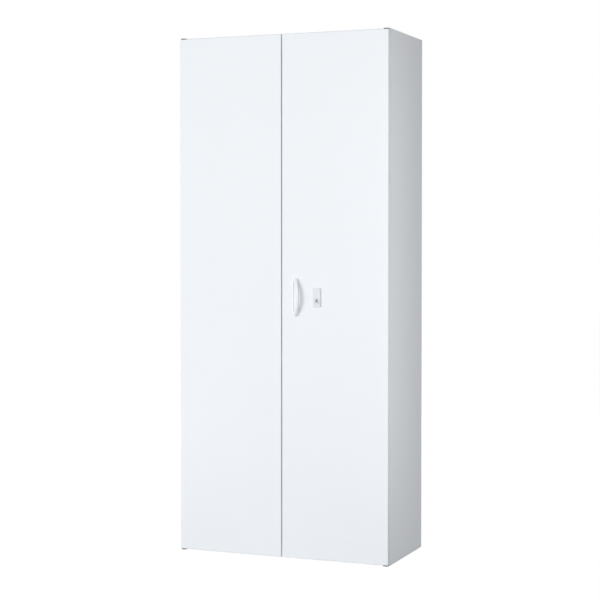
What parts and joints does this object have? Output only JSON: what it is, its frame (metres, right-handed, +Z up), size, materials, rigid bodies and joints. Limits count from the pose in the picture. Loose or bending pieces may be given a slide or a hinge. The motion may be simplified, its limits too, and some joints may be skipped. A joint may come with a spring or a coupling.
{
  "type": "steel storage cabinet",
  "caption": "Tall steel storage cabinet with two hinged doors, adjustable shelves on clips, a bow handle and a key lock that drives rods and a bolt.",
  "frame": {"origin": "on the floor, at the middle of the overall width and of the overall depth, handle included", "axes": "+Z up, the doors face -Y, +X to the right of a person facing the doors"},
  "size_m": [0.9, 0.463, 2.1],
  "materials": {
    "powder_white": "satin powder coat",
    "hinge_grey": "matt dark grey coat",
    "zinc": "satin zinc plate",
    "lock_metal": "satin nickel plate",
    "handle_white": "satin moulded",
    "grey_plastic": "matt moulded",
    "black_plastic": "matt moulded",
    "rubber_grey": "matt"
  },
  "bodies": {
    "root": {"left_side_panel": "powder_white", "right_side_panel": "powder_white", "top_panel": "powder_white", "bottom_panel": "powder_white", "back_panel": "powder_white", "front_header": "powder_white", "shelf_1": "powder_white", "shelf_2": "powder_white", "shelf_3": "powder_white", "shelf_4": "powder_white", "shelf_5": "powder_white", "upright_front_left": "powder_white", "upright_front_right": "powder_white", "upright_rear_left": "powder_white", "upright_rear_right": "powder_white", "hinge_bracket_top_left": "hinge_grey", "hinge_bracket_top_right": "hinge_grey", "hinge_bracket_bottom_left": "hinge_grey", "hinge_bracket_bottom_right": "hinge_grey", "shelf_clips": "zinc", "hinge_pins": "zinc", "strike_plates": "zinc", "strike_screws": "zinc", "foot_brackets": "zinc", "foot_nuts": "zinc", "foot_hole_plugs": "handle_white", "magnet_catches": "grey_plastic", "door_bumpers": "rubber_grey"},
    "left_door": {"left_door_skin": "powder_white", "left_door_liner": "powder_white", "left_door_stiffener": "zinc", "left_door_gussets": "zinc", "left_catch_plates": "zinc", "left_keeper": "zinc", "left_keeper_screws": "zinc", "left_door_bushes": "grey_plastic"},
    "right_door": {"right_door_skin": "powder_white", "right_door_liner": "powder_white", "right_door_stiffener": "zinc", "right_door_gussets": "zinc", "right_catch_plates": "zinc", "right_door_bushes": "grey_plastic", "rod_guides": "grey_plastic", "handle_base": "handle_white", "handle_bow": "handle_white", "handle_screws": "zinc", "lock_plate": "handle_white", "lock_barrel": "lock_metal", "lock_nut": "zinc", "lock_cover": "grey_plastic", "lock_cover_screws": "zinc"},
    "lock": {"key_plug": "lock_metal", "lock_cam": "zinc"},
    "top_rod": {"top_rod": "zinc"},
    "bottom_rod": {"bottom_rod": "zinc"},
    "centre_bolt": {"centre_bolt": "zinc"},
    "foot_front_left": {"foot_front_left": "black_plastic"},
    "foot_front_right": {"foot_front_right": "black_plastic"},
    "foot_rear_left": {"foot_rear_left": "black_plastic"},
    "foot_rear_right": {"foot_rear_right": "black_plastic"}
  },
  "joints": [
    {"name": "right_door_hinge", "type": "hinge", "parent": "root", "child": "right_door", "pos_m": [0.442, -0.1855, 0], "axis": [0, 0, 1], "range_deg": [0, 105]},
    {"name": "left_door_hinge", "type": "hinge", "parent": "root", "child": "left_door", "pos_m": [-0.442, -0.1855, 0], "axis": [0, 0, -1], "range_deg": [0, 105]},
    {"name": "key_turn", "type": "hinge", "parent": "right_door", "child": "lock", "pos_m": [0.153, -0.1855, 1.034], "axis": [0, -1, 0], "range_deg": [0, 90]},
    {"name": "top_rod_slide", "type": "slide", "parent": "right_door", "child": "top_rod", "axis": [0, 0, 1], "range_m": [0, 0.01697]},
    {"name": "bottom_rod_slide", "type": "slide", "parent": "right_door", "child": "bottom_rod", "axis": [0, 0, -1], "range_m": [0, 0.017]},
    {"name": "centre_bolt_slide", "type": "slide", "parent": "right_door", "child": "centre_bolt", "axis": [-1, 0, 0], "range_m": [0, 0.017]},
    {"name": "foot_front_left_turn", "type": "hinge", "parent": "root", "child": "foot_front_left", "pos_m": [-0.405, -0.1255, 0], "axis": [0, 0, 1], "continuous": true},
    {"name": "foot_front_right_turn", "type": "hinge", "parent": "root", "child": "foot_front_right", "pos_m": [0.405, -0.1255, 0], "axis": [0, 0, 1], "continuous": true},
    {"name": "foot_rear_left_turn", "type": "hinge", "parent": "root", "child": "foot_rear_left", "pos_m": [-0.405, 0.1835, 0], "axis": [0, 0, 1], "continuous": true},
    {"name": "foot_rear_right_turn", "type": "hinge", "parent": "root", "child": "foot_rear_right", "pos_m": [0.405, 0.1835, 0], "axis": [0, 0, 1], "continuous": true}
  ],
  "couplings": [
    {"joint": "key_turn", "follows": "top_rod_slide", "rad_per_m": 92.56},
    {"joint": "bottom_rod_slide", "follows": "top_rod_slide", "ratio": 1},
    {"joint": "centre_bolt_slide", "follows": "top_rod_slide", "ratio": 1}
  ]
}
